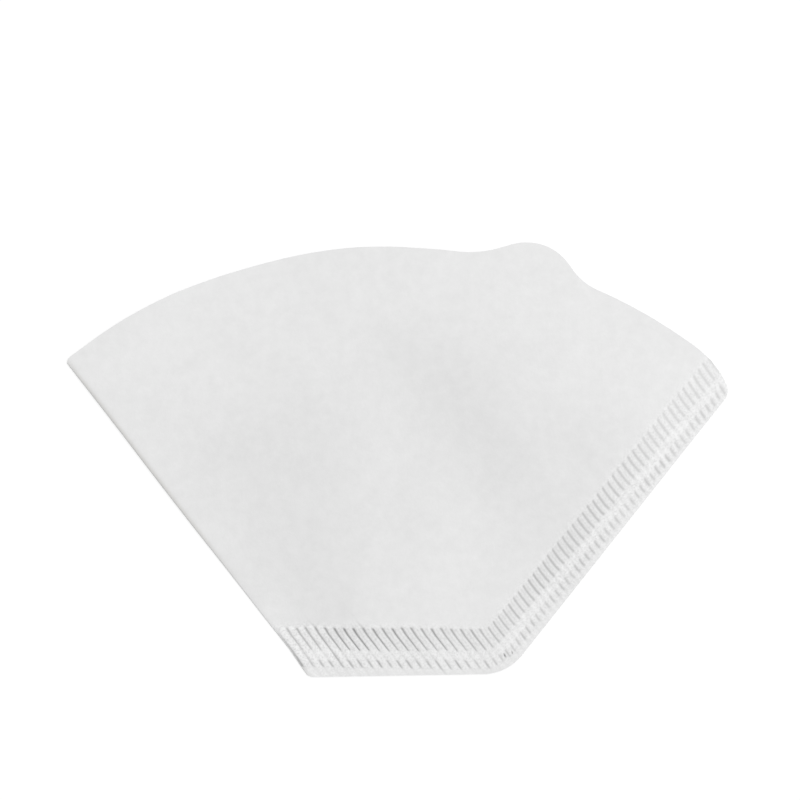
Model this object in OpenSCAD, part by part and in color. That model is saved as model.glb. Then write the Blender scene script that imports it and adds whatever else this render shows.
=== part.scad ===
// Flat-folded paper coffee filter, lying on its back ply.
// One sheet is folded along the left side and its two plies are crimped together along the
// bottom and the right side. The curved mouth stays open and carries a rounded ear.

/* [Outline] */
// Length of the left fold, between sharp corners
fold_length = 100; // [80:1:130]
// Angle between the fold and the bottom edge
fold_angle = 53.1; // [48:0.1:58]
// Length of the bottom edge, between sharp corners
bottom_length = 49.4; // [40:0.2:70]
// Length of the right edge, between sharp corners
side_length = 93.4; // [80:0.2:120]
// Angle between the right edge and the bottom edge
side_angle = 50.6; // [46:0.1:56]
// Radius of the curved mouth
mouth_radius = 130; // [110:1:160]

/* [Corners] */
// Rounding where the fold meets the bottom edge
fold_foot_radius = 1.6; // [0.8:0.1:3]
// Rounding between the bottom and the right edge
bottom_corner_radius = 11.5; // [9:0.5:16]
// Rounding where the fold meets the mouth
fold_tip_radius = 1.6; // [0.8:0.1:3]
// Rounding at the lower side of the right tip
side_tip_radius = 4.2; // [3:0.2:8]
// Wider rounding that leads from the mouth into the right tip
side_shoulder_radius = 26; // [14:1:40]
// Length of mouth that the wider rounding takes, from the sharp right tip
side_shoulder_length = 14.6; // [10:0.2:20]

/* [Ear] */
// Height of the ear above the mouth's curve
ear_height = 5.9; // [3:0.1:9]
// Radius of the ear's rounded top
ear_radius = 13; // [11:0.5:18]
// Radius of the hollow curve on the fold's side of the ear
ear_fold_fillet = 28; // [10:1:40]
// Radius of the hollow curve on the other side of the ear
ear_side_fillet = 16; // [8:1:30]
// Length of mouth between the fold and the middle of the ear
ear_distance = 125; // [80:0.5:140]

/* [Paper] */
// Thickness of one ply
ply = 0.16; // [0.1:0.01:0.3]
// How far the front ply stands off the back ply at the middle of the mouth
puff = 1.5; // [0.5:0.1:3]

/* [Crimped seam] */
// Distance from one stroke to the next, square to the strokes
stroke_pitch = 1.92; // [1.5:0.02:3]
// Distance from the fold to the first stroke
first_stroke = 0.75; // [0.6:0.05:1.5]
// Width of one stroke
stroke_width = 0.75; // [0.5:0.05:1.2]
// Depth to which a stroke is pressed in
stroke_depth = 0.32; // [0.1:0.02:0.6]
// Plain border along the bottom edge
bottom_border = 1.8; // [1.5:0.1:4]
// Length of the outer strokes on the bottom, square to the edge
bottom_outer = 2.3; // [1.5:0.1:4]
// Plain strip between the two rows of strokes on the bottom
bottom_gap = 2; // [1:0.1:4]
// Length of the inner strokes on the bottom, square to the edge
bottom_inner = 6; // [4:0.1:8]
// Plain border along the right edge
side_border = 1.1; // [1:0.1:4]
// Length of the outer strokes on the right, square to the edge
side_outer = 2.5; // [1.5:0.1:4]
// Plain strip between the two rows of strokes on the right
side_gap = 1.8; // [1:0.1:4]
// Length of the inner strokes on the right, square to the edge
side_inner = 5.4; // [3:0.1:7]
// Distance over which a stroke fades out at each end
stroke_fade = 0.6; // [0.3:0.1:0.7]
// Distance inside the seam at which the back ply lies flat again
seam_settle = 12; // [5:1:20]

/* [Hidden] */
paper_white = [0.91, 0.91, 0.9];

// Plan positions are [s, t]: s is the distance from the fold and t runs up along it, both
// from the sharp corner where the fold meets the bottom edge.
corner = bottom_length * [sin(fold_angle), -cos(fold_angle)];
side_turn = fold_angle + side_angle;
side_way = [sin(side_turn), -cos(side_turn)];
side_in = [cos(side_turn), sin(side_turn)];
fold_tip = [0, fold_length];
side_tip = corner + side_length * side_way;

// Circle of the mouth, through the two sharp tips
chord = side_tip - fold_tip;
mouth_centre = (fold_tip + side_tip) / 2
    + [chord.y, -chord.x] / norm(chord) * sqrt(mouth_radius ^ 2 - (norm(chord) / 2) ^ 2);

// Directions seen from the mouth's centre, as angles from the fold's direction: of its two
// sharp tips, of the point where the wider rounding starts and of the ear
fold_tip_turn = atan2(fold_tip.x - mouth_centre.x, fold_tip.y - mouth_centre.y);
side_tip_turn = atan2(side_tip.x - mouth_centre.x, side_tip.y - mouth_centre.y);
shoulder_turn = side_tip_turn - side_shoulder_length / mouth_radius * 180 / PI;
ear_turn = fold_tip_turn + ear_distance / mouth_radius * 180 / PI;

// Circles of the rounded tips and of the foot of the fold
fold_tip_centre = [
    fold_tip_radius,
    mouth_centre.y + sqrt((mouth_radius - fold_tip_radius) ^ 2 - (fold_tip_radius - mouth_centre.x) ^ 2)
];
fold_tip_touch = mouth_centre
    + (fold_tip_centre - mouth_centre) * mouth_radius / (mouth_radius - fold_tip_radius);
shoulder_centre = mouth_centre
    + (mouth_radius - side_shoulder_radius) * [sin(shoulder_turn), cos(shoulder_turn)];
tip_base = corner + side_tip_radius * side_in - shoulder_centre;
side_tip_centre = shoulder_centre + tip_base + side_way * (sqrt((tip_base * side_way) ^ 2
    - tip_base * tip_base + (side_shoulder_radius - side_tip_radius) ^ 2) - tip_base * side_way);
tip_touch = shoulder_centre + (side_tip_centre - shoulder_centre) * side_shoulder_radius
    / (side_shoulder_radius - side_tip_radius);
foot_centre = [fold_foot_radius, bottom_line(fold_foot_radius, fold_foot_radius)];

// The paper reaches farthest from the fold on the wider circle, or else on the tip's own
shoulder_widest = side_tip_centre.y < shoulder_centre.y;
widest = shoulder_widest ? shoulder_centre.x + side_shoulder_radius : side_tip_centre.x + side_tip_radius;
widest_height = shoulder_widest ? shoulder_centre.y : side_tip_centre.y;

// Height t over s of a line at a distance inside the bottom edge or the right edge
function bottom_line(s, inside) = (inside - s * cos(fold_angle)) / sin(fold_angle);
function side_line(s, inside) = (inside + side_in * corner - s * side_in.x) / side_in.y;

// Height t over s of the lower or upper half of a circle
function under(s, centre, r) = centre.y - sqrt(max(0, r ^ 2 - (s - centre.x) ^ 2));
function over(s, centre, r) = centre.y + sqrt(max(0, r ^ 2 - (s - centre.x) ^ 2));

// Line at given distances inside the bottom and the right edge, rounded at the corner
function seam_line(s, bottom, side) =
    let (
        r = max(0.01, bottom_corner_radius - (bottom + side) / 2),
        centre = meet(bottom + r, side + r)
    )
    s < centre.x - r * cos(fold_angle) ? bottom_line(s, bottom)
        : s > centre.x - r * side_in.x ? side_line(s, side)
        : under(s, centre, r);

// Point at given distances inside the bottom and the right edge
function meet(bottom, side) =
    let (s = (bottom / sin(fold_angle) - (side + side_in * corner) / side_in.y)
        / (cos(fold_angle) / sin(fold_angle) - side_in.x / side_in.y))
    [s, bottom_line(s, bottom)];

// Lower and upper limit of the paper over s, without the ear
function paper_low(s) =
    s >= widest ? widest_height
        : s < foot_centre.x - fold_foot_radius * cos(fold_angle) ? under(s, foot_centre, fold_foot_radius)
        : shoulder_widest && s > tip_touch.x ? under(s, shoulder_centre, side_shoulder_radius)
        : s > side_tip_centre.x - side_tip_radius * side_in.x ? under(s, side_tip_centre, side_tip_radius)
        : seam_line(s, 0, 0);
function paper_high(s) =
    s >= widest ? widest_height
        : s < fold_tip_touch.x ? over(s, fold_tip_centre, fold_tip_radius)
        : !shoulder_widest && s > tip_touch.x ? over(s, side_tip_centre, side_tip_radius)
        : s > mouth_centre.x + mouth_radius * sin(shoulder_turn)
            ? over(s, shoulder_centre, side_shoulder_radius)
        : over(s, mouth_centre, mouth_radius);

// Distance from the mouth's centre to its edge, at an angle off the ear's direction
function ear_reach(off, fillet) =
    let (
        cap = mouth_radius + ear_height - ear_radius,
        far = mouth_radius + fillet,
        start = acos((cap ^ 2 + far ^ 2 - (ear_radius + fillet) ^ 2) / (2 * cap * far)),
        touch = [0, cap] + (far * [sin(start), cos(start)] - [0, cap]) * ear_radius / (ear_radius + fillet)
    )
    off >= start ? mouth_radius
        : off > atan2(touch.x, touch.y)
            ? far * cos(off - start) - sqrt(fillet ^ 2 - (far * sin(off - start)) ^ 2)
        : cap * cos(off) + sqrt(ear_radius ^ 2 - (cap * sin(off)) ^ 2);

// Point of the mouth's edge that belongs to s, on the ear where there is one
function mouth_point(s) =
    let (
        turn = asin(min(1, max(-1, (s - mouth_centre.x) / mouth_radius))),
        off = turn - ear_turn,
        reach = ear_reach(abs(off), off < 0 ? ear_fold_fillet : ear_side_fillet)
    )
    reach > mouth_radius ? mouth_centre + reach * [sin(turn), cos(turn)] : [s, paper_high(s)];

// Columns run parallel to the fold, as [s, share of a stroke's depth, share of the ply's
// thickness]. The first three turn round the fold, then each stroke has three, and the last
// few close up towards the right tip.
fold_steps = [0, 45, 90];
tip_steps = 4;
fold_columns = [for (turn = fold_steps) [ply * (1 - cos(turn)), 0, sin(turn)]];
stroke_count = floor((widest - stroke_pitch / 4 - first_stroke) / stroke_pitch) + 1;
stroke_columns = [
    for (i = [0:stroke_count - 1], part = [[-0.5, 0], [0, 1], [0.5, 0]])
        let (s = first_stroke + i * stroke_pitch + part[0] * stroke_width)
        if (s > ply && s < widest - stroke_pitch / 8) [s, part[1], 1]
];
tip_run = widest - stroke_columns[len(stroke_columns) - 1][0];
tip_columns = [for (i = [tip_steps - 1:-1:0]) [widest - tip_run * (i / tip_steps) ^ 2, 0, 1]];
columns = concat(fold_columns, stroke_columns, tip_columns);
last = len(columns) - 1;
crease = len(fold_columns) - 1;

// Rows run across the columns: first those of the seam, then those of the open panel. Those of
// the seam are [distance inside the bottom edge, inside the right edge, share of a stroke's depth].
outer_start = [bottom_border, side_border];
outer_long = [bottom_outer, side_outer];
inner_start = outer_start + outer_long + [bottom_gap, side_gap];
inner_long = [bottom_inner, side_inner];
seam_rows = concat([[0, 0, 0]], stroke_rows(outer_start, outer_long), stroke_rows(inner_start, inner_long));

// Where strokes start, are down at full depth, rise again and end
function stroke_rows(start, long) = [
    for (part = [[0, 0, 0], [0, 1, 1], [1, -1, 1], [1, 0, 0]])
        let (place = start + part[0] * long + part[1] * [stroke_fade, stroke_fade])
        [place.x, place.y, part[2]]
];
panel_steps = [0.25, 0.6, 1];
seam_top = len(seam_rows) - 1;
mouth_row = seam_top + len(panel_steps);

function row_line(s, row) = seam_line(s, seam_rows[row][0], seam_rows[row][1]);
function row_height(s, row) = min(paper_high(s), max(paper_low(s), row_line(s, row)));
function row_share(row) = row <= seam_top ? 0 : panel_steps[row - seam_top - 1];

// Plan position of a row on a column
function spot(s, row) =
    let (seam = [s, row_height(s, min(row, seam_top))])
    row <= seam_top ? seam : seam + row_share(row) * (mouth_point(s) - seam);

// The last column that runs from the seam to an open mouth
pocket_last = max([
    for (i = [0:last])
        let (s = columns[i][0], line = row_line(s, seam_top))
        if (line > paper_low(s) && line < paper_high(s)) i
]);
pocket_end = columns[pocket_last][0];

// Height of the back ply's underside: the strokes are pressed down to the ground, and the
// plain paper of the seam stays above them and comes down again inside the seam
function rise(column, row) =
    let (
        s = column[0],
        t = row_height(s, min(row, seam_top)),
        press = lookup(t, [for (i = [0:seam_top]) [row_line(s, i), seam_rows[i][2]]]),
        inside = norm(spot(s, row) - [s, t])
    )
    stroke_depth * (max(0, 1 - inside / seam_settle) - column[1] * press);

// Gap that the front ply leaves over the back ply
function gap(s, row) = puff * sin(180 * min(1, (s - ply) / (pocket_end - ply))) * sin(90 * row_share(row));

// The plan turned so that the bottom edge lies along X
function turned(p) = [
    p.x * sin(fold_angle) - p.y * cos(fold_angle),
    p.x * cos(fold_angle) + p.y * sin(fold_angle)
];
outline = [for (c = columns, row = [0, mouth_row]) turned(spot(c[0], row))];
outline_x = [for (p = outline) p.x];
outline_y = [for (p = outline) p.y];
middle = [max(outline_x) + min(outline_x), max(outline_y) + min(outline_y)] / 2;

// A row is [row, front 1 or back 0, outer 1 or inner 0, its columns]
function row_points(row) = [
    for (i = row[3])
        let (
            column = columns[i],
            front = row[1] * max(0, gap(column[0], row[0])),
            skin = row[2] * (2 * row[1] - 1) * ply * column[2],
            plan = turned(spot(column[0], row[0])) - middle
        )
        [plan.x, plan.y, ply + rise(column, row[0]) + front + skin]
];

// Columns that each kind of row uses: all on the seam, fewer on the open panel
every = [for (i = [0:last]) i];
panel_columns = [for (i = every) if (i <= crease || i >= pocket_last || (i - crease) % 3 == 0) i];
lining_columns = [for (i = panel_columns) if (i >= crease && i <= pocket_last) i];
edge_columns = [for (i = every) if (i >= crease) i];

function row_columns(row) = row <= seam_top || row == mouth_row ? every : panel_columns;

// Outside of the filter, from the back ply's mouth round the cut edge to the front ply's
outside = [
    [mouth_row, 0, 0, edge_columns],
    for (row = [mouth_row:-1:0]) [row, 0, 1, row_columns(row)],
    [0, 0, 0, edge_columns],
    for (row = [0:mouth_row]) [row, 1, 1, row_columns(row)],
    [mouth_row, 1, 0, edge_columns]
];

// Lining of the pocket, from the front ply's mouth down to the seam and up the back ply
lining_mouth = [for (i = edge_columns) if (i <= pocket_last) i];
lining = [
    for (row = [mouth_row:-1:seam_top]) [row, 1, 0, row == mouth_row ? lining_mouth : lining_columns],
    for (row = [seam_top + 1:mouth_row]) [row, 0, 0, row == mouth_row ? lining_mouth : lining_columns]
];

// Which of two neighbouring rows takes the next step of the strip between them
function steps_first(a, b, i, j) = j == len(b) - 1 || (i < len(a) - 1 && a[i + 1] <= b[j + 1]);

// Triangles between two rows, where a and b are their columns
function strip(a, b, from_a, from_b) = [
    for (
        i = 0, j = 0, first = steps_first(a, b, 0, 0);
        i + j < len(a) + len(b) - 2;
        i = i + (first ? 1 : 0), j = j + (first ? 0 : 1), first = steps_first(a, b, i, j)
    )
        first ? [from_a + i, from_b + j, from_a + i + 1] : [from_a + i, from_b + j, from_b + j + 1]
];

// Index of each row's first point
function starts(rows, from) = [
    for (i = 0, n = from; i < len(rows); n = n + len(rows[i][3]), i = i + 1) n
];
function strips(rows, from) =
    let (first = starts(rows, from))
    [for (i = [0:len(rows) - 2]) each strip(rows[i][3], rows[i + 1][3], first[i], first[i + 1])];

// Rows that run together share their points, and the triangles between those are left out
function has_area(f, points) =
    points[f[0]] != points[f[1]] && points[f[1]] != points[f[2]] && points[f[2]] != points[f[0]];

module filter_paper() {
    outside_points = [for (row = outside) each row_points(row)];
    points = concat(outside_points, [for (row = lining) each row_points(row)]);
    faces = concat(strips(outside, 0), strips(lining, len(outside_points)));
    color(paper_white) polyhedron(points, [for (f = faces) if (has_area(f, points)) f]);
}

filter_paper();
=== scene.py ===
import math
import random

import bpy
import numpy as np
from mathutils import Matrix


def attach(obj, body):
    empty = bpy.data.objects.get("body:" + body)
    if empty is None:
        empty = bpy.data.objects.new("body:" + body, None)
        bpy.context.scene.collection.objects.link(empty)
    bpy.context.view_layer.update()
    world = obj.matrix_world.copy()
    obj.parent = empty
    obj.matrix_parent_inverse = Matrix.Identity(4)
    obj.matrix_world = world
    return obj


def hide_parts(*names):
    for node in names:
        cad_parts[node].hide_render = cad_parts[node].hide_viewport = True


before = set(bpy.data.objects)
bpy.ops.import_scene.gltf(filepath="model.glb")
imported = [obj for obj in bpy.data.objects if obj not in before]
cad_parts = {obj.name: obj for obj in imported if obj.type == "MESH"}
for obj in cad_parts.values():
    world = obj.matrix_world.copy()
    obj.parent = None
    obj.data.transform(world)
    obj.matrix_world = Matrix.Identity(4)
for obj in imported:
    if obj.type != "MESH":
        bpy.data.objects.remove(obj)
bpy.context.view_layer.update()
mm = 0.001

print("stage 1: camera")

studioCamera = {
    "across": 200.0,          # mm of ground that the picture takes in, both ways
    "middle": (0.85, 14.98),  # mm, the spot of ground in the middle of the picture
    "turn": -1.0,             # degrees, which tips the bottom edge up to the right
    "height": 1500.0,         # mm above the ground, so that the view is nearly flat
    "sensor": 36.0,           # mm
    "clip": (0.01, 20.0),     # metres, the nearest and the furthest that shows
}


def makeCamera(look):
    data = bpy.data.cameras.new("studioCamera")
    data.sensor_width = look["sensor"]
    data.lens = look["sensor"] * look["height"] / look["across"]
    data.clip_start, data.clip_end = look["clip"]
    camera = bpy.data.objects.new("studioCamera", data)
    camera.location = (look["middle"][0] * mm, look["middle"][1] * mm, look["height"] * mm)
    camera.rotation_euler = (0.0, 0.0, math.radians(look["turn"]))
    bpy.context.scene.collection.objects.link(camera)
    bpy.context.scene.camera = camera


makeCamera(studioCamera)

print("stage 2: plan of the folded sheet")

# All lengths in mm. Plan positions are (s, t): s is the distance from the fold, t runs up along it.
paper = {
    "foldLength": 99.78,
    "foldAngle": 53.1,         # degrees between the fold and the bottom edge
    "bottomLength": 49.68,
    "sideLength": 93.08,
    "sideAngle": 50.6,         # degrees between the right edge and the bottom edge
    "mouthRadius": 130.0,
    "footRadius": 2.5,         # where the fold meets the bottom edge
    "cornerRadius": 12.6,      # between the bottom and the right edge
    "leastRadius": 0.01,       # of the rows inside that corner
    "foldTipRadius": 1.4,
    "sideTipRadius": 3.8,
    "shoulderRadius": 26.0,    # wider rounding that leads from the mouth into the right tip
    "shoulderLength": 14.6,    # along the mouth, from the sharp tip to the start of that rounding
    "earHeight": 6.0,          # above the arc of the mouth
    "earRadius": 13.0,
    "earFoldFillet": 28.0,     # hollow rounding beside the ear, towards the fold
    "earSideFillet": 16.0,     # the same towards the right tip
    "earDistance": 124.8,      # along the mouth, from the fold
    "ply": 0.16,               # thickness of one ply
    "puff": 1.5,               # gap between the plies at the middle of the mouth, before the soft waves
    "panelRows": 18,           # rows of points between the seam and the mouth
    "panelSpread": 1.12,       # above 1 they lie closer together near the seam
    "leastPanel": 0.02,        # a column with less than this above its seam has no pocket
    "weld": 0.004,             # points that lie closer than this are made one
    "smoothAngle": 55.0,       # degrees, above which an edge stays sharp
    # How far the fold strays from its straight line, as (place along it, mm towards the seam)
    "foldStray": ((0, 0.0), (3, 0.1), (5.5, 0.28), (8.5, 0.46), (12, 0.45), (17, 0.39), (35, 0.38),
                  (47, 0.29), (57, 0.3), (66, 0.36), (76, 0.47), (86, 0.52), (94, 0.5),
                  (96.5, 0.33), (98.0, 0.4), (100, 0.6)),
    "strayReach": 8.0,         # distance from the fold over which the paper follows it
    # How far the cut of the mouth strays outwards, as (distance from the fold, mm)
    "mouthStray": ((0, 0.0), (6, -0.04), (18, 0.15), (32, 0.1), (40, -0.15), (50, -0.33),
                   (56, -0.28), (66, 0.05), (76, 0.25), (83, 0.12), (87, -0.08), (92, 0.0),
                   (104, 0.18), (110, 0.0), (117, 0.28), (123, 0.26), (125.5, 0.0)),
    "middle": (23.192, 53.867),  # of the part's outline, in the picture's directions from the foot
}


def sinD(degrees):
    return math.sin(math.radians(degrees))


def cosD(degrees):
    return math.cos(math.radians(degrees))


def polar(degrees):
    return np.array([sinD(degrees), cosD(degrees)])


def angleOf(point):
    return math.degrees(math.atan2(point[0], point[1]))


# Value at x on straight lines between the given (place, value) pairs
def between(x, pairs):
    return np.interp(x, [pair[0] for pair in pairs], [pair[1] for pair in pairs])


turnSin, turnCos = sinD(paper["foldAngle"]), cosD(paper["foldAngle"])
corner = paper["bottomLength"] * np.array([turnSin, -turnCos])
sideTurn = paper["foldAngle"] + paper["sideAngle"]
sideWay = np.array([sinD(sideTurn), -cosD(sideTurn)])  # up along the right edge
sideIn = np.array([cosD(sideTurn), sinD(sideTurn)])    # square to it, into the paper
foldTip = np.array([0.0, paper["foldLength"]])
sideTip = corner + paper["sideLength"] * sideWay

# Circle of the mouth through both sharp tips, and the circles that round the tips
mouthRadius, shoulderRadius = paper["mouthRadius"], paper["shoulderRadius"]
foldTipRadius, sideTipRadius = paper["foldTipRadius"], paper["sideTipRadius"]
chord = sideTip - foldTip
halfChord = np.linalg.norm(chord) / 2
mouthDrop = math.sqrt(mouthRadius ** 2 - halfChord ** 2)
mouthCentre = (foldTip + sideTip) / 2 + np.array([chord[1], -chord[0]]) / (2 * halfChord) * mouthDrop
shoulderTurn = angleOf(sideTip - mouthCentre) - math.degrees(paper["shoulderLength"] / mouthRadius)
earTurn = angleOf(foldTip - mouthCentre) + math.degrees(paper["earDistance"] / mouthRadius)
foldTipCentre = np.array([foldTipRadius, mouthCentre[1] + math.sqrt(
    (mouthRadius - foldTipRadius) ** 2 - (foldTipRadius - mouthCentre[0]) ** 2)])
foldTipTouch = mouthCentre + (foldTipCentre - mouthCentre) * mouthRadius / (mouthRadius - foldTipRadius)
shoulderCentre = mouthCentre + (mouthRadius - shoulderRadius) * polar(shoulderTurn)
tipBase = corner + sideTipRadius * sideIn - shoulderCentre
tipAlong = float(tipBase @ sideWay)
tipRun = math.sqrt(tipAlong ** 2 - tipBase @ tipBase + (shoulderRadius - sideTipRadius) ** 2) - tipAlong
sideTipCentre = shoulderCentre + tipBase + sideWay * tipRun
tipTouch = shoulderCentre + (sideTipCentre - shoulderCentre) * shoulderRadius / (
    shoulderRadius - sideTipRadius)
widest = shoulderCentre[0] + shoulderRadius


# Lines at a given distance inside the bottom and the right edge
def bottomLine(s, inside):
    return (inside - s * turnCos) / turnSin


def sideLine(s, inside):
    return (inside + sideIn @ corner - s * sideIn[0]) / sideIn[1]


# Lower and upper half of a circle
def under(s, centre, radius):
    return centre[1] - np.sqrt(np.maximum(0.0, radius ** 2 - (s - centre[0]) ** 2))


def over(s, centre, radius):
    return centre[1] + np.sqrt(np.maximum(0.0, radius ** 2 - (s - centre[0]) ** 2))


# Line at given distances inside the bottom and the right edge, rounded at the corner
def seamLine(s, bottom, side):
    radius = np.maximum(paper["leastRadius"], paper["cornerRadius"] - (bottom + side) / 2)
    fromBottom, fromSide = bottom + radius, side + radius
    centreS = (fromBottom / turnSin - (fromSide + sideIn @ corner) / sideIn[1]) / (
        turnCos / turnSin - sideIn[0] / sideIn[1])
    centreT = bottomLine(centreS, fromBottom)
    return np.where(
        s < centreS - radius * turnCos, bottomLine(s, bottom),
        np.where(s > centreS - radius * sideIn[0], sideLine(s, side), under(s, (centreS, centreT), radius)))


footRadius = paper["footRadius"]
footCentre = (footRadius, float(bottomLine(footRadius, footRadius)))


# Lower and upper edge of the paper, the upper one without the ear
def paperLow(s):
    return np.where(
        s < footCentre[0] - footRadius * turnCos, under(s, footCentre, footRadius),
        np.where(
            s > tipTouch[0], under(s, shoulderCentre, shoulderRadius),
            np.where(
                s > sideTipCentre[0] - sideTipRadius * sideIn[0],
                under(s, sideTipCentre, sideTipRadius), seamLine(s, 0 * s, 0 * s))))


def paperHigh(s):
    return np.where(
        s < foldTipTouch[0], over(s, foldTipCentre, foldTipRadius),
        np.where(
            s > mouthCentre[0] + mouthRadius * sinD(shoulderTurn),
            over(s, shoulderCentre, shoulderRadius), over(s, mouthCentre, mouthRadius)))


# Distance from the mouth's centre to its edge, at an angle off the ear's direction
def earReach(off, fillet):
    earRadius = paper["earRadius"]
    cap = mouthRadius + paper["earHeight"] - earRadius
    far = mouthRadius + fillet
    start = math.degrees(math.acos((cap ** 2 + far ** 2 - (earRadius + fillet) ** 2) / (2 * cap * far)))
    touch = np.array([0.0, cap]) + (far * polar(start) - np.array([0.0, cap])) * earRadius / (
        earRadius + fillet)
    turn = np.radians(off - start)
    hollow = far * np.cos(turn) - np.sqrt(np.maximum(0.0, fillet ** 2 - (far * np.sin(turn)) ** 2))
    top = cap * np.cos(np.radians(off)) + np.sqrt(
        np.maximum(0.0, earRadius ** 2 - (cap * np.sin(np.radians(off))) ** 2))
    return np.where(off >= start, mouthRadius, np.where(off > angleOf(touch), hollow, top))


# Point of the mouth's edge that belongs to s, on the ear where there is one
def mouthPoint(s):
    turn = np.degrees(np.arcsin(np.clip((s - mouthCentre[0]) / mouthRadius, -1.0, 1.0)))
    off = turn - earTurn
    reach = np.where(off < 0, earReach(np.abs(off), paper["earFoldFillet"]),
                     earReach(np.abs(off), paper["earSideFillet"]))
    onEar = reach > mouthRadius + 1e-9
    return (np.where(onEar, mouthCentre[0] + reach * np.sin(np.radians(turn)), s),
            np.where(onEar, mouthCentre[1] + reach * np.cos(np.radians(turn)), paperHigh(s)))


print("stage 3: the crimp")

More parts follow.
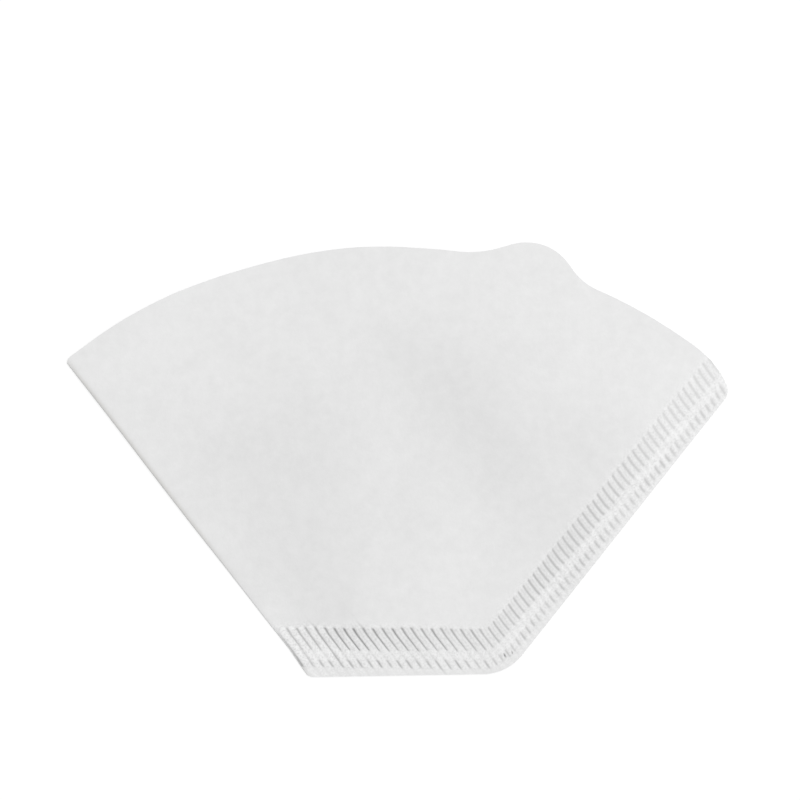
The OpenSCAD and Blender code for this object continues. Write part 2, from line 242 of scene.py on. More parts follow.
# Pairs are (stroke, value), with the strokes counted from 0 at the fold, unless a comment says otherwise
crimp = {
    "seed": 7,
    "strokes": 67,
    "first": 0.72,             # from the fold to where the even pitch starts
    "foldFirst": 0.4,          # from the fold to the middle of stroke 0, which lies on it
    "bottomPitch": 1.914,      # square to the strokes, on the bottom
    "turnStroke": 20,          # last stroke that starts on the bottom
    "sidePitch": 1.9255,       # square to the strokes, on the right
    "lag": 0.38,               # how far the strokes fall behind half-way up the right edge
    "lagBend": 0.85,           # below 1 that place lies nearer to the corner
    # Largest random change of a stroke's place and ends, in mm, and of its force, as a share
    "placeJitter": 0.05,
    "endJitter": 0.16,
    "innerJitter": 0.12,
    "outerJitter": 0.2,
    "innerStep": ((0, 0.0), (1, 0.07), (5, 0.16), (7, 0.02)),  # how far the inner row is set off the outer
    "tipLean": (3.5, 5.0),     # degrees by which inner and outer strokes lean off the fold at the tip
    "leanStrokes": ((50, 0.0), (66, 1.0)),  # share of that lean
    "leanFade": (1.5, 1.2),    # distance from the mouth and from the tip over which all leaning ends
    "outerTurn": 0.13,         # how far each outer stroke is turned off the fold, from end to end
    "curl": ((18, 0.24), (24, 0.14)),    # how far the inner ends of the inner strokes bend off the fold
    "curlBend": 1.5,
    "hook": ((20, 0.0), (32, 0.18), (48, 0.18), (56, 0.12)),  # how far the outer ends bend off it
    "halfWidth": ((18, 0.42), (26, 0.47), (34, 0.52), (44, 0.55), (60, 0.66)),
    "taper": (0.78, 1.12),     # share of it at the outer and the inner end of the inner row, on the bottom
    "onBottom": ((18, 1.0), (24, 0.0)),  # how far a stroke counts as one on the bottom
    "depth": 0.2,              # of a stroke of force 1
    "hardest": 1.3,            # force above which a stroke gets no deeper
    "crown": 0.05,             # how far the paper stands up between two strokes
    # Depths inside the edge at which the outer row starts and ends and the inner row starts and
    # ends: first on the bottom, then on the right
    "bottomRows": (((0, 2.62), (8, 2.03), (15, 1.52), (20, 1.25)), ((0, 4.22), (20, 3.3)),
                   ((0, 6.65), (20, 5.72)), ((0, 12.15), (9, 11.92), (20, 11.24))),
    "sideRows": (((20, 1.97), (30, 1.82), (66, 0.82)), ((20, 4.06), (66, 3.0)),
                 ((20, 6.42), (66, 5.0)), ((20, 11.04), (40, 10.44), (56, 10.08), (66, 10.02))),
    "end": 0.24,               # half of the length over which a stroke ends
    "marginRow": 0.45,         # place of a row of points in the plain margin, as a share of it
    "strokeRows": (0.28, 0.5, 0.72),  # places of three rows on the inner strokes, as shares of them
    "fadeRows": (0.9, 2.2),    # places of two rows above them, in mm
    "innerForce": ((0, 0.68), (3, 0.9), (8, 1.4), (13, 1.28), (19, 1.02), (24, 0.76), (34, 0.86),
                   (46, 0.64), (54, 0.43), (65, 0.42), (66, 0.22)),
    "innerSlope": (0.88, 1.06),  # share of it at the outer and the inner end, on the bottom
    "outerForce": ((0, 1.0), (8, 1.0), (14, 0.95), (20, 0.66), (30, 0.58), (46, 0.58), (60, 0.5),
                   (65, 0.42), (66, 0.0)),
    "through": {1: 0.55, 4: 0.85},           # strokes that run on through the plain strip
    "faintThrough": 0.1,                     # least force of the bottom's other strokes there
    "faintStrokes": ((3, 0.0), (6, 1.0), (18, 1.0), (24, 0.0)),  # share of it
    "overrun": {4: 0.3, 9: 0.35},            # strokes that go on faintly above the inner row
    "runOut": {14: 0.35},                    # strokes that go on faintly to the cut edge
    # Strokes pressed harder or less hard than their neighbours
    "accents": {3: 1.15, 7: 1.08, 8: 1.15, 9: 0.9, 10: 0.92, 24: 0.9, 25: 0.85, 36: 0.85, 37: 0.85},
    "outerAccents": {1: 0.6, 2: 0.8, 9: 0.7},
    # Force of the stroke that lies on the fold, as (depth inside the edge, force)
    "foldStroke": ((2.3, 0.0), (2.6, 0.8), (2.86, 1.3), (4.0, 1.12), (5.4, 0.92), (7.0, 0.8),
                   (9.5, 0.65), (12.0, 0.1)),
    "cornerTicks": ((42.0, 1.9, 5), (43.92, 1.3, 4)),  # short hard ones at the corner: place, force, row
    "tickWidth": 0.34,
    "halfLine": ((4, 0.0), (6, 0.16), (20, 0.16), (36, 0.14), (46, 0.04)),  # faint, between two strokes
    "halfLineWidth": 0.26,
    # Crown and painted highlight: on the plain paper, and along the inner strokes near the fold and the tip
    "crownByStroke": ((0, 1.0), (4, 0.85), (8, 0.45), (20, 0.45), (26, 0.75), (66, 0.85)),
    "nearEnds": ((1, 0.7), (4, 0.4), (8, 0.0), (40, 0.0), (48, 0.1), (56, 0.4)),
    "strokeFlattening": 0.9,          # share of crown and painted highlight that the middle of a stroke presses flat
    "flatteningGap": 0.45,          # half of the width over which it does so
    # Speckle of the whole seam, and what becomes of it in the margin and above the inner strokes
    "speckle": ((0, 1.0), (18, 0.9), (28, 0.62), (46, 0.62), (58, 0.7)),
    "marginSpeckle": ((14, 0.35), (24, 1.0), (40, 1.0), (50, 1.9)),
    "fadeSpeckle": ((18, 1.0), (24, 0.8), (50, 0.6)),
    "mouthFade": 0.4,          # distance from the mouth over which the crimp starts
    "edgeFade": 0.25,          # distance from the lower edge over which a row leaves it
    "tipMargin": 0.01,         # from the last column to the furthest point of the tip
    "tipGap": 0.06,            # a stroke's own column lies at least this far inside the last one
    "columnGap": 0.05,         # least distance between two columns
}

dice = random.Random(crimp["seed"])


# One random change for each stroke
def jitter(size):
    return np.array([dice.uniform(-size, size) for n in range(crimp["strokes"])])


strokeNumber = np.arange(crimp["strokes"])
pastTurn = np.maximum(0, strokeNumber - crimp["turnStroke"])
strokeS = crimp["first"] + crimp["bottomPitch"] * (strokeNumber - pastTurn) + crimp["sidePitch"] * pastTurn
strokeS = strokeS - crimp["lag"] / 2 * (
    1 - np.cos(2 * math.pi * (pastTurn / pastTurn.max()) ** crimp["lagBend"]))
strokeS = strokeS + jitter(crimp["placeJitter"])
strokeS[0] = crimp["foldFirst"]
strokeHalf = between(strokeNumber, crimp["halfWidth"])
innerForce = between(strokeNumber, crimp["innerForce"]) * (1 + jitter(crimp["innerJitter"]))
innerForce *= np.array([crimp["accents"].get(int(n), 1.0) for n in strokeNumber])
outerForce = between(strokeNumber, crimp["outerForce"]) * (1 + jitter(crimp["outerJitter"]))
outerForce *= np.array([crimp["outerAccents"].get(int(n), 1.0) for n in strokeNumber])
endShift = [jitter(crimp["endJitter"]) for end in range(4)]

# Columns run parallel to the fold: five for each stroke and three between two strokes
columns = []
for n in strokeNumber:
    columns += [strokeS[n] + off * strokeHalf[n] for off in (-1.0, -0.5, 0.0, 0.5, 1.0)]
    if n + 1 < crimp["strokes"]:
        left = strokeS[n] + strokeHalf[n]
        right = strokeS[n + 1] - strokeHalf[n + 1]
        columns += [left + part * (right - left) for part in (0.25, 0.5, 0.75)]
for tick in crimp["cornerTicks"]:
    columns += [tick[0] + off * crimp["tickWidth"] for off in (-1.0, 0.0, 1.0)]
tipEnd = widest - crimp["tipMargin"]
columns = sorted(c for c in columns if c < tipEnd - crimp["tipGap"])
columns += [columns[-1] + part * (tipEnd - columns[-1]) for part in (0.5, 0.8, 1.0)]
s = [paper["ply"]]
for c in columns:
    if c - s[-1] > crimp["columnGap"]:
        s.append(c)
s = np.array(s)
count = len(s)
print("columns on a ply:", count)

strokeDistance = np.abs(s[:, None] - strokeS[None, :])
nearest = strokeDistance.argmin(axis=1)
strokeDistance = strokeDistance.min(axis=1)
fraction = np.interp(s, strokeS, strokeNumber)  # number of the stroke that a column is at
shift = np.array([np.interp(s, strokeS, endShift[end]) for end in range(4)])
onBottom = between(fraction, crimp["onBottom"])


# Depths inside the edge of the seam's rows, from the cut edge to just above the inner strokes
def seamDepths(ends):
    outerStart, outerEnd, innerStart, innerEnd = [
        between(fraction, end) + part for end, part in zip(ends, shift)]
    half = crimp["end"]
    return np.array([
        0 * s, crimp["marginRow"] * (outerStart - half), outerStart - half, outerStart, outerStart + half,
        (outerStart + outerEnd) / 2, outerEnd - half, outerEnd, outerEnd + half,
        (outerEnd + innerStart) / 2, innerStart - half, innerStart, innerStart + half]
        + [innerStart + share * (innerEnd - innerStart) for share in crimp["strokeRows"]]
        + [innerEnd - half, innerEnd, innerEnd + half]
        + [innerEnd + past for past in crimp["fadeRows"]])


bottomDepth = seamDepths(crimp["bottomRows"])
sideDepth = seamDepths(crimp["sideRows"])

# Which of those rows are the start, middle and end of the outer strokes, the middle of the plain
# strip, and the start, middle and end of the inner strokes
outerStartRow, outerMiddleRow, outerEndRow, stripRow = 3, 5, 7, 9
innerStartRow, innerMiddleRow, innerEndRow = 11, 14, 17

# Shares of each row, from the edge inwards: outer strokes, inner strokes, plain strip, overrun
# above the inner strokes, run-out to the edge, line half-way between inner strokes, crown with its
# painted highlight, speckle, height above the pressed strokes, and lean of the strokes
outerRow = np.array([0, 0, .1, .5, .9, 1, .85, .45, 0, 0, 0, 0, 0, 0, 0, 0, 0, 0, 0, 0, 0])
innerRow = np.array([0, 0, 0, 0, 0, 0, 0, 0, 0, 0, .1, .5, .92, .94, .94, .97, 1, .5, 0, 0, 0])
plainRow = np.array([0, 0, 0, 0, 0, 0, 0, .5, 1, 1, 1, .5, 0, 0, 0, 0, 0, 0, 0, 0, 0])
overRow = np.array([0, 0, 0, 0, 0, 0, 0, 0, 0, 0, 0, 0, 0, 0, 0, 0, 0, .5, 1, .7, .1])
runOutRow = np.array([.3, .7, .9, .5, 0, 0, 0, 0, 0, 0, 0, 0, 0, 0, 0, 0, 0, 0, 0, 0, 0])
halfRow = np.array([0, 0, 0, 0, 0, 0, 0, 0, 0, 0, 0, .3, .5, .6, .9, 1.2, 1.3, .5, 0, 0, 0])
crownAndHighlightRow = np.array([
    .7, .75, .6, .5, .45, .45, .55, .8, 1, 1, .95, .6, .25, .12, .08, .1, .25, .5, .5, .2, 0])
speckRow = np.array([.2, .4, .9, 1, 1, 1, 1, 1, 1, 1, 1, 1, 1, 1, 1, 1, 1, 1, .95, .5, 0])
levelRow = np.array([.45, .75, .95, 1, 1, 1, 1, 1, 1, 1, 1, 1, 1, 1, 1, 1, 1, 1, 1, 1, 1])
leanRow = np.array([0, .5, 1, 1, 1, 1, 1, 1, 1, 1, 1, 1, 1, 1, 1, 1, 1, 1, 1, .5, 0])
seamRows = len(outerRow)
isInner = np.arange(seamRows)[:, None] > stripRow


# How far each row is along the strokes from one row to another, from 0 to 1
def shareAlong(first, last):
    return np.clip((bottomDepth - bottomDepth[first]) / (bottomDepth[last] - bottomDepth[first]), 0, 1)


innerShare = shareAlong(innerStartRow, innerEndRow)
outerShare = shareAlong(outerStartRow, outerEndRow)
tapering = crimp["taper"][0] + innerShare * (crimp["taper"][1] - crimp["taper"][0])
strokeWidth = np.where(isInner, 1 + (tapering - 1) * onBottom, 1.0)
panelShares = np.linspace(0, 1, paper["panelRows"] + 1)[1:] ** paper["panelSpread"]
rows = seamRows + len(panelShares)


# One value for each stroke, laid out over the columns
def byStroke(values):
    return np.array([values.get(int(n), 0.0) for n in nearest])


reach = np.clip(strokeDistance / (strokeHalf[nearest] * strokeWidth), 0.0, 1.0)
profile = 0.5 * (1 + np.cos(math.pi * reach))
through = np.maximum(
    byStroke(crimp["through"]), crimp["faintThrough"] * between(fraction, crimp["faintStrokes"]))
halfLine = between(fraction, crimp["halfLine"]) * np.exp(
    -((strokeDistance - crimp["bottomPitch"] / 2) / crimp["halfLineWidth"]) ** 2)
press = np.zeros((rows, count))
press[:seamRows] = profile * (
    innerForce[nearest] * np.maximum(innerRow[:, None], plainRow[:, None] * through)
    + np.maximum(outerRow[:, None] * outerForce[nearest], outerRow[:, None] * through * innerForce[nearest])
    + overRow[:, None] * byStroke(crimp["overrun"])
    + runOutRow[:, None] * byStroke(crimp["runOut"]))
press[:seamRows] += halfRow[:, None] * halfLine
sloping = crimp["innerSlope"][0] + innerShare * (crimp["innerSlope"][1] - crimp["innerSlope"][0])
press[:seamRows] *= np.where(isInner, 1 + (sloping - 1) * onBottom, 1.0)
onFold = nearest == 0
press[:seamRows, onFold] = (profile * between(bottomDepth, crimp["foldStroke"]))[:, onFold]
for at, force, row in crimp["cornerTicks"]:
    press[row] = np.maximum(press[row], force * np.clip(1 - np.abs(s - at) / crimp["tickWidth"], 0, 1))

# Crown and painted highlight between the strokes, also along the inner strokes near the fold and the tip
crownAndHighlight = np.zeros((rows, count))
crownAndHighlight[:seamRows] = crownAndHighlightRow[:, None] * between(fraction, crimp["crownByStroke"]) + np.minimum(
    1, 2 * innerRow[:, None]) * between(fraction, crimp["nearEnds"])
crownAndHighlight = np.minimum(1, crownAndHighlight)
crownAndHighlight[:seamRows] *= 1 - crimp["strokeFlattening"] * np.exp(-(strokeDistance / crimp["flatteningGap"]) ** 2)

# Plan positions of every row on every column
low, high = paperLow(s), paperHigh(s)
planS = np.empty((rows, count))
planT = np.empty((rows, count))
inside = np.zeros((rows, count))
for row in range(seamRows):
    planS[row] = s
    planT[row] = np.minimum(high, np.maximum(low, seamLine(s, bottomDepth[row], sideDepth[row])))
planT[0] = low
nearMouth = np.clip((high - planT[:seamRows]) / crimp["mouthFade"], 0, 1)
offEdge = np.clip((planT[:seamRows] - low) / crimp["edgeFade"], 0, 1)


# Rows that the rounded tip cuts off meet in one point of the edge, so they take the edge row's values
def metAtEdge(values):
    return values[0] + (values - values[0]) * offEdge


press[:seamRows] = metAtEdge(press[:seamRows]) * nearMouth
crownAndHighlight[:seamRows] = metAtEdge(crownAndHighlight[:seamRows]) * nearMouth
mouthS, mouthT = mouthPoint(s)
mouthT = mouthT + between(mouthS, paper["mouthStray"])
seamTop = planT[seamRows - 1]
for number, share in enumerate(panelShares):
    row = seamRows + number
    planS[row] = s + share * (mouthS - s)
    planT[row] = seamTop + share * (mouthT - seamTop)
    inside[row] = np.hypot(planS[row] - s, planT[row] - seamTop)

# The strokes lean off the fold's direction near the tip, and bend at their ends: the inner ones over
# their last and first quarter, the outer ones over their first half
tipLean = np.where(isInner, crimp["tipLean"][0], crimp["tipLean"][1])
tipLean = tipLean * between(fraction, crimp["leanStrokes"])
rowMiddle = np.where(isInner, planT[innerMiddleRow], planT[outerMiddleRow])
leaning = np.tan(np.radians(tipLean)) * (planT[:seamRows] - rowMiddle)
leaning += np.where(isInner, between(fraction, crimp["innerStep"]), crimp["outerTurn"] * (outerShare - 0.5))
leaning += np.where(
    isInner, between(fraction, crimp["curl"]) * np.clip(4 * innerShare - 3, 0, 1) ** crimp["curlBend"], 0.0)
leaning += between(fraction, crimp["hook"]) * np.where(
    isInner, np.clip(1 - 4 * innerShare, 0, 1), np.clip(1 - 2 * outerShare, 0, 1))
leaning[stripRow] = (leaning[stripRow - 1] + leaning[stripRow + 1]) / 2
leaning *= leanRow[:, None] * np.clip((high - planT[:seamRows]) / crimp["leanFade"][0], 0, 1)
leaning *= np.clip((tipEnd - s) / crimp["leanFade"][1], 0, 1) * np.clip(s - crimp["foldFirst"], 0, 1)
planS[:seamRows] += metAtEdge(leaning)

foldStray = between(planT[:, 0], paper["foldStray"])
planS += between(planT, paper["foldStray"]) * np.exp(-s / paper["strayReach"])

pocketEnd = s[np.where(seamTop < high - paper["leastPanel"])[0][-1]]
shareUp = np.concatenate([np.zeros(seamRows), panelShares])
along = np.clip((s - paper["ply"]) / (pocketEnd - paper["ply"]), 0, 1)
bulge = np.sin(math.pi * along)[None, :] * np.sin(0.5 * math.pi * shareUp)[:, None]

print("stage 4: folding the sheet")

settle = {
    "lift": 0.03,          # lowest point of the paper above the ground
    "seamLevel": 0.27,     # plain paper of the seam above the hardest strokes
    "settleRun": 12.0,     # distance inside the seam at which the back ply lies flat again
    "clearance": 0.05,     # between the plies in the seam
    "pinch": 0.5,          # share of its height that the crimped seam loses at the fold
    "pinchReach": 1.2,     # distance from the fold over which it gets that back
    "foldColumns": 5,      # columns between the plies, round the fold
    "foldLoft": 0.6,       # height of the soft fold where it isn't crimped
    "foldReach": 1.5,      # distance over which a ply rounds off to the fold
    "foldRise": 46.0,      # length of fold above the seam over which it opens
    "loftFade": 12.0,      # distance from the fold over which the front ply comes down again
    "loftEnd": ((93.0, 1.0), (99.0, 0.4)),  # share of the loft towards the fold's tip, by place on it
    # Soft waves of the front ply, as (middle, width, height): one upright in the picture, with its
    # share by height in the picture, and one nearly parallel to the fold
    "uprightWave": (15.0, 20.0, 0.5),
    "uprightShare": ((50, 1.0), (85, 0.0)),
    "foldwiseWave": (91.0, 20.0, 0.45),
    "foldwiseSlope": 0.68,  # how far its crest runs to the left for each step up
    "foldwiseScale": 1.21,  # length of such a step along the crest, which makes widths mm square to it
}


# A soft band across the paper, as (middle, width, height or strength)
def softBand(place, band):
    middle, width, strength = band
    return strength * np.exp(-((place - middle) / width) ** 2)


halfPly = paper["ply"] / 2
level = np.ones((rows, count))
level[:seamRows] = metAtEdge(levelRow[:, None] * level[:seamRows])
pinch = 1 - settle["pinch"] * np.exp(-s / settle["pinchReach"])
rise = settle["seamLevel"] * pinch * level * np.clip(1 - inside / settle["settleRun"], 0, 1)
wave = crimp["depth"] * pinch * np.minimum(press, crimp["hardest"]) - crimp["crown"] * crownAndHighlight
loft = settle["foldLoft"] * np.sin(0.5 * math.pi * np.clip(inside[:, 0] / settle["foldRise"], 0, 1))
loft = (loft * between(planT[:, 0], settle["loftEnd"]))[:, None]
rounding = np.sqrt(1 - (1 - np.clip((s - halfPly) / settle["foldReach"], 0, 1)) ** 2)
fade = np.exp(-np.maximum(0, s - settle["foldReach"]) / settle["loftFade"])

# The picture's directions, from the foot: across, up, and square to lines nearly parallel to the fold
acrossX = planS * turnSin - planT * turnCos
upY = planS * turnCos + planT * turnSin
foldwise = (acrossX + settle["foldwiseSlope"] * upY) / settle["foldwiseScale"]
waves = softBand(acrossX, settle["uprightWave"]) * between(upY, settle["uprightShare"])
waves += softBand(foldwise, settle["foldwiseWave"])

backZ = settle["lift"] + halfPly + rise - wave
frontZ = backZ + paper["ply"] + settle["clearance"] + (paper["puff"] + waves) * bulge
frontZ += loft * (0.5 + 0.5 * rounding) * fade
backZ = backZ + 0.5 * loft * (1 - rounding)

fold = settle["foldColumns"]
total = 2 * count + fold


# Joins the two plies by way of the fold: the back ply runs towards the fold, the front ply from it
def roundFold(values, foldValues):
    joined = np.zeros((total, rows))
    joined[:count] = values[0][:, ::-1].T
    joined[count:count + fold] = foldValues
    joined[count + fold:] = values[1].T
    return joined


foldS = np.zeros((fold, rows))
foldT = np.zeros((fold, rows))
foldZ = np.zeros((fold, rows))
foldTurn = np.arccos(1 - (planS[:, 0] - foldStray - halfPly) / settle["foldReach"])
for step in range(fold):
    turn = foldTurn * (2 * (step + 1) / (fold + 1) - 1)
    straight = halfPly + settle["foldReach"] * (1 - np.cos(turn))
    foldS[step] = straight + foldStray
    foldT[step] = planT[:, 0]
    foldT[step, 0] = paperLow(straight)[0]
    foldT[step, -1] = paperHigh(straight)[-1]
    foldZ[step] = (frontZ[:, 0] + backZ[:, 0]) / 2 + (
        frontZ[:, 0] - backZ[:, 0]) / 2 * np.sin(turn) / np.sin(foldTurn)

sheetS = roundFold((planS, planS), foldS)
sheetT = roundFold((planT, planT), foldT)
sheetZ = roundFold((backZ, frontZ), foldZ)

# The plan turned so that the bottom edge lies along X, about the middle of the outline
pointX = sheetS * turnSin - sheetT * turnCos - paper["middle"][0]
pointY = sheetS * turnCos + sheetT * turnSin - paper["middle"][1]

# Painted light and shade, in place of the soft shading of gentle waves: 0 for the plain white, 1 for
# the darker tone, in a few broad soft bands, each as (middle, width, strength)
paintedShading = {
    "plain": 0.35,
    "uprightBand": (-2.0, 15.0, 0.27),  # painted shade band up the left of the middle
    "strip": (33.0, 11.0, 0.1),         # strip of painted light to the right of it
    "lowerPart": ((55, 1.0), (85, 0.0)),  # share of those two, by height in the picture
    "foldwiseBand": (70.5, 11.5, 0.3),  # painted shade band nearly parallel to the fold
    # Share of that one, by height in the picture
    "foldwiseShare": ((30, 0.75), (45, 1.0), (60, 1.35), (76, 1.3), (86, 0.6), (94, 0.0)),
    # Patches of painted light, and of painted shade where the strength is negative, as (x, y, radius,
    # strength)
    "patches": ((-36, 92, 25, 0.2), (99, 66, 20, 0.18), (-8.5, 15.5, 6, 0.35), (27, 5, 3.5, -0.4),
                (73, 56, 9, -0.24), (64, 62, 7, -0.15), (33, 57, 9, -0.2), (47, 76, 9, -0.12),
                (9.5, 18, 4, -0.25), (1.8, 3, 4, 0.4), (21.5, 2.5, 4, 0.22), (29, 37, 8, -0.17),
                (-21, 57, 10, -0.16)),
    "foldShadeTint": 0.2,       # how much of the painted fold shade's tone the fold takes
    # Shares of that, as (distance from the fold, share) and as (place along the fold, share)
    "foldShadeAcross": ((0.05, 0.0), (0.3, 1.0), (0.6, 0.75), (1.2, 0.0)),
    "foldShadeAlong": ((0, 0.2), (14, 0.0), (28, 0.0), (44, 0.9), (94.5, 0.9), (97.5, 0.3)),
}
shadeAndThinness = np.full((rows, count), paintedShading["plain"])
lowerPart = between(upY, paintedShading["lowerPart"])
shadeAndThinness += softBand(acrossX, paintedShading["uprightBand"]) * lowerPart
shadeAndThinness -= softBand(acrossX, paintedShading["strip"]) * lowerPart
shadeAndThinness += softBand(foldwise, paintedShading["foldwiseBand"]) * between(upY, paintedShading["foldwiseShare"])
for patchX, patchY, radius, strength in paintedShading["patches"]:
    shadeAndThinness -= strength * np.exp(-((acrossX - patchX) ** 2 + (upY - patchY) ** 2) / radius ** 2)
# Painted shade along the fold line
foldShade = paintedShading["foldShadeTint"] * between(s, paintedShading["foldShadeAcross"])[None, :]
foldShade = foldShade * between(planT, paintedShading["foldShadeAlong"])

bpy.ops.object.select_all(action="DESELECT")
bpy.ops.mesh.primitive_grid_add(x_subdivisions=total - 1, y_subdivisions=rows - 1, size=1)
sheet = bpy.context.object
sheet.name = "filter_sheet"
sheet.data.name = "filter_sheet"
flat = np.empty(len(sheet.data.vertices) * 3)
sheet.data.vertices.foreach_get("co", flat)
flat = flat.reshape(-1, 3)
gridColumn = np.rint((flat[:, 0] + 0.5) * (total - 1)).astype(int)
gridRow = np.rint((flat[:, 1] + 0.5) * (rows - 1)).astype(int)
folded = np.stack([pointX[gridColumn, gridRow], pointY[gridColumn, gridRow],
                   sheetZ[gridColumn, gridRow]], axis=1) * mm
sheet.data.vertices.foreach_set("co", folded.ravel())


# Puts a value on every point of the sheet, for its material to read
def paintPoints(name, values):
    joined = roundFold((values, values), np.tile(values[:, 0], (fold, 1)))
    layer = sheet.data.attributes.new(name, "FLOAT", "POINT")
    layer.data.foreach_set("value", joined[gridColumn, gridRow].astype(np.float32))


# The strokes' press, which also sets their painted groove shade in the material
paintPoints("pressed", press)
# Painted shade along the fold line, for the material
paintPoints("foldShaded", foldShade)
# Painted highlight on the crimp's crowns, for the material
paintPoints("crownHighlight", crownAndHighlight)
# Painted soft shade bands and patches, for the material's darker tone
paintPoints("shadeAndThinness", shadeAndThinness)
speckle = speckRow[:, None] * between(fraction, crimp["speckle"])
speckle[:outerStartRow] *= between(fraction, crimp["marginSpeckle"])
speckle[innerEndRow + 1:] *= between(fraction, crimp["fadeSpeckle"])
paintPoints("crimped", np.concatenate([speckle, np.zeros((len(panelShares), count))]))
sheet.data.update()

bpy.ops.object.mode_set(mode="EDIT")
bpy.ops.mesh.select_all(action="SELECT")
bpy.ops.mesh.remove_doubles(threshold=paper["weld"] * mm)
bpy.ops.object.mode_set(mode="OBJECT")

thick = sheet.modifiers.new("ply", "SOLIDIFY")
thick.thickness = paper["ply"] * mm
thick.offset = 0.0
bpy.ops.object.modifier_apply(modifier="ply")
bpy.ops.object.shade_smooth_by_angle(angle=math.radians(paper["smoothAngle"]))
print("triangles:", sum(len(f.vertices) - 2 for f in sheet.data.polygons))

print("stage 5: the paper's finish")


# An sRGB hex colour as linear red, green, blue and alpha
def linearColour(code):
    parts = [int(code[i:i + 2], 16) / 255 for i in (1, 3, 5)]
    return tuple(c / 12.92 if c <= 0.04045 else ((c + 0.055) / 1.055) ** 2.4 for c in parts) + (1.0,)


def addNode(tree, kind, settings=None, values=None, links=None):
    node = tree.nodes.new(kind)
    for name, value in (settings or {}).items():
        setattr(node, name, value)
    for socket, value in (values or {}).items():
        node.inputs[socket].default_value = value
    for socket, source in (links or {}).items():
        tree.links.new(source, node.inputs[socket])
    return node


# Empties the nodes of a material or the world, and gives them back with a new output
def startNodes(owner, outputKind):
    owner.use_nodes = True
    owner.node_tree.nodes.clear()
    return owner.node_tree, addNode(owner.node_tree, outputKind)


bleachedPaper = {
    "white": "#EBEBEB",        # the bleached paper's own neutral white
    "cloudAndShadeTone": "#DBDBDB",         # darker tone, for the pulp's random clouds and for painted soft shade
    "paintedHighlight": "#F6F6F6",       # painted highlight on the crowns of the crimp
    "pressedTone": "#7A7A7A",  # painted shade in the strokes' grooves, with the greyer tone of pulp pressed hard
    "foldShadeTone": "#A39C88",   # painted shade along the fold line, a little warmer
    "cloudSize": 17.0,         # mm, soft clouds in the pulp
    "mottleSize": 2.6,         # mm, flocks of fibres
    "fibreSize": 0.9,          # mm, coarser than single fibres so that it still shows
    "speckSize": 0.5,          # mm, tufts in the crimp, also coarser than real ones
    "noiseRoughness": 0.55,
    # How strongly each of these makes the pulp look thin or thick, and the offset that evens them out
    "clouding": 0.35,
    "mottling": 0.6,
    "fibring": 0.25,
    "evening": -0.6,
    "speckling": 3.0,          # the same for the specks, in the crimp only
    "highlightSpeckling": (3.0, -0.95),   # gain and offset that break the painted highlight into specks
    "tint": 0.58,              # how much of the strokes' painted shade tone a stroke of force 1 takes
    "tintSpecks": (0.5, 0.75),  # part of that tint that follows the specks, and the even part
    "speckTooth": 0.6,         # height of the specks against that of the fibres
    "crimpTooth": (1.6, 0.5),  # tooth that the crimp adds, and that of the plain paper
    "bump": 0.35,
    "bumpHeight": 0.12,        # mm
    "roughness": 0.92,
    "gloss": 0.25,             # specular level of dry, open paper
}


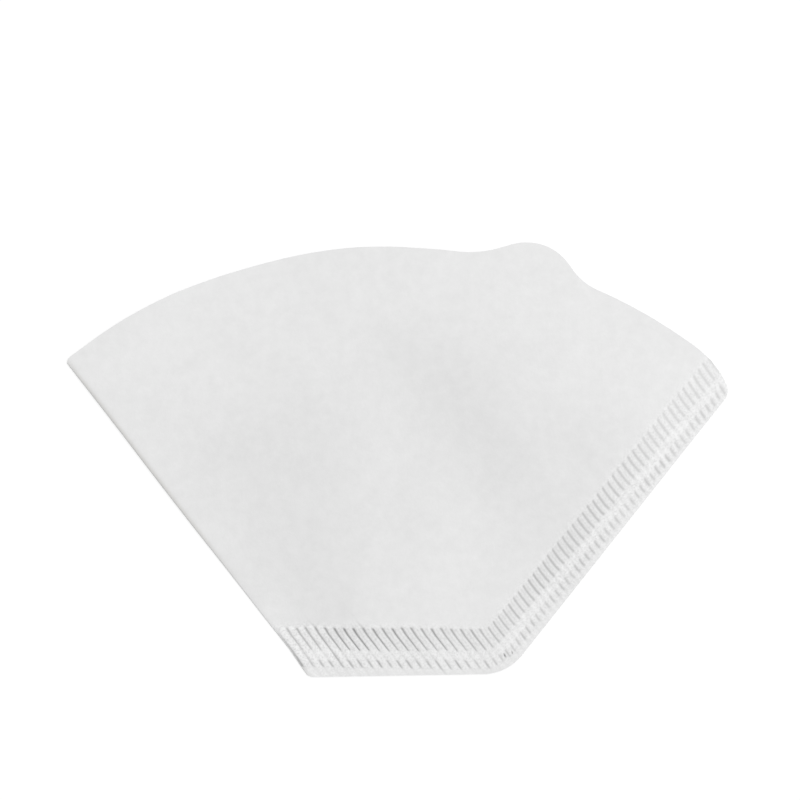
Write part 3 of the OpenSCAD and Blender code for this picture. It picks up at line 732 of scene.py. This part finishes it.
def makePaper(look):
    # Bleached filter paper, wet-laid and left unsized: matt, faintly cloudy, with a soft fibrous tooth. Its
    # colour also holds painted shade in broad bands, in the strokes and along the fold, and painted
    # highlight on the crimp's crowns
    material = bpy.data.materials.new("bleachedFilterPaper")
    tree, out = startNodes(material, "ShaderNodeOutputMaterial")
    place = addNode(tree, "ShaderNodeTexCoord").outputs["Object"]

    def noise(size, detail):
        return addNode(tree, "ShaderNodeTexNoise", {}, {
            "Scale": 1 / (size * mm), "Detail": detail, "Roughness": look["noiseRoughness"]}, {
            "Vector": place}).outputs[0]

    def attribute(name):
        return addNode(tree, "ShaderNodeAttribute", {"attribute_name": name}).outputs["Fac"]

    # Source times gain plus an offset, which is a number or another source
    def scaled(source, gain, offset):
        links = {0: source}
        values = {1: gain}
        (values if isinstance(offset, float) else links)[2] = offset
        return addNode(tree, "ShaderNodeMath", {"operation": "MULTIPLY_ADD"}, values, links).outputs[0]

    def product(first, second):
        return addNode(tree, "ShaderNodeMath", {"operation": "MULTIPLY"}, {}, {
            0: first, 1: second}).outputs[0]

    def blended(share, first, second):
        values, links = {}, {0: share}
        for socket, colour in ((6, first), (7, second)):
            (values if isinstance(colour, tuple) else links)[socket] = colour
        return addNode(tree, "ShaderNodeMix", {"data_type": "RGBA"}, values, links).outputs[2]

    clouds = noise(look["cloudSize"], 3.0)
    mottle = noise(look["mottleSize"], 2.0)
    fibres = noise(look["fibreSize"], 3.0)
    specks = noise(look["speckSize"], 2.0)
    crimped = attribute("crimped")
    # Painted soft shade bands and patches from the sheet, with the pulp's random clouds, mottle, fibres and
    # crimp specks added
    shadeAndThinness = scaled(attribute("shadeAndThinness"), 1.0, look["evening"])
    shadeAndThinness = scaled(fibres, look["fibring"], shadeAndThinness)
    shadeAndThinness = scaled(mottle, look["mottling"], shadeAndThinness)
    shadeAndThinness = scaled(clouds, look["clouding"], shadeAndThinness)
    shadeAndThinness = scaled(product(crimped, scaled(specks, -1.0, 0.5)), look["speckling"], shadeAndThinness)
    pulp = blended(shadeAndThinness, linearColour(look["white"]), linearColour(look["cloudAndShadeTone"]))
    # Painted highlight on the crimp's crowns, broken up by the specks
    highlightShare = product(attribute("crownHighlight"), scaled(specks, *look["highlightSpeckling"]))
    paintedHighlight = blended(highlightShare, pulp, linearColour(look["paintedHighlight"]))
    # Painted shade in the strokes' grooves, with the pressed pulp's greyer tone
    strokes = product(attribute("pressed"), scaled(
        specks, look["tintSpecks"][0] * look["tint"], look["tintSpecks"][1] * look["tint"]))
    # Painted shade along the fold line
    folded = blended(attribute("foldShaded"), paintedHighlight, linearColour(look["foldShadeTone"]))
    colour = blended(strokes, folded, linearColour(look["pressedTone"]))
    tooth = product(scaled(specks, look["speckTooth"], fibres), scaled(crimped, *look["crimpTooth"]))
    bump = addNode(tree, "ShaderNodeBump", {}, {
        "Strength": look["bump"], "Distance": look["bumpHeight"] * mm}, {"Height": tooth})
    shader = addNode(tree, "ShaderNodeBsdfPrincipled", {}, {
        "Roughness": look["roughness"], "Specular IOR Level": look["gloss"]}, {
        "Base Color": colour, "Normal": bump.outputs[0]})
    tree.links.new(shader.outputs[0], out.inputs["Surface"])
    return material


sheet.data.materials.clear()
sheet.data.materials.append(makePaper(bleachedPaper))
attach(sheet, "root")
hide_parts("filter_paper")

print("stage 6: ground and light")

studio = {
    "groundSize": 6.0,        # metres
    "groundTone": "#8E8E8E",
    "groundGlow": 0.78,       # only in what the camera sees, which lifts the ground to white
    "fill": 0.62,             # even light from all round
    "key": 17.0,              # watts of the soft lamp
    "keySize": 1.35,          # metres across
    "keyPlace": (0.82, 0.61, 1.47),
}


# 1 for what the camera sees directly or in a gloss or through glass, 0 for light on the object
def seenByCamera(tree):
    path = addNode(tree, "ShaderNodeLightPath")
    seen = addNode(tree, "ShaderNodeMath", {"operation": "MAXIMUM"}, {}, {
        0: path.outputs["Is Camera Ray"], 1: path.outputs["Is Glossy Ray"]})
    return addNode(tree, "ShaderNodeMath", {"operation": "MAXIMUM"}, {}, {
        0: seen.outputs[0], 1: path.outputs["Is Transmission Ray"]}).outputs[0]


def makeGround(look):
    bpy.ops.object.select_all(action="DESELECT")
    bpy.ops.mesh.primitive_plane_add(size=look["groundSize"])
    ground = bpy.context.object
    ground.name = "ground"
    # Painted board: matt and even, with no gloss
    material = bpy.data.materials.new("paintedBoard")
    tree, out = startNodes(material, "ShaderNodeOutputMaterial")
    glow = addNode(tree, "ShaderNodeMath", {"operation": "MULTIPLY"}, {
        1: look["groundGlow"]}, {0: seenByCamera(tree)})
    shader = addNode(tree, "ShaderNodeBsdfPrincipled", {}, {
        "Base Color": linearColour(look["groundTone"]), "Roughness": 1.0, "Specular IOR Level": 0.0,
        "Emission Color": (1.0, 1.0, 1.0, 1.0)}, {"Emission Strength": glow.outputs[0]})
    tree.links.new(shader.outputs[0], out.inputs["Surface"])
    ground.data.materials.append(material)


def makeLight(look):
    world = bpy.data.worlds.new("studioRoom")
    bpy.context.scene.world = world
    tree, out = startNodes(world, "ShaderNodeOutputWorld")
    strength = addNode(tree, "ShaderNodeMapRange", {}, {
        "To Min": look["fill"], "To Max": 1.0}, {"Value": seenByCamera(tree)})
    room = addNode(tree, "ShaderNodeBackground", {}, {
        "Color": (1.0, 1.0, 1.0, 1.0)}, {"Strength": strength.outputs[0]})
    tree.links.new(room.outputs[0], out.inputs["Surface"])
    lamp = bpy.data.lights.new("softKey", "AREA")
    lamp.shape = "DISK"
    lamp.size = look["keySize"]
    lamp.energy = look["key"]
    key = bpy.data.objects.new("softKey", lamp)
    key.location = look["keyPlace"]
    bpy.context.scene.collection.objects.link(key)
    aim = -key.location.normalized()
    key.rotation_euler = aim.to_track_quat("-Z", "Y").to_euler()


makeGround(studio)
makeLight(studio)
bpy.context.scene.view_settings.view_transform = "Standard"
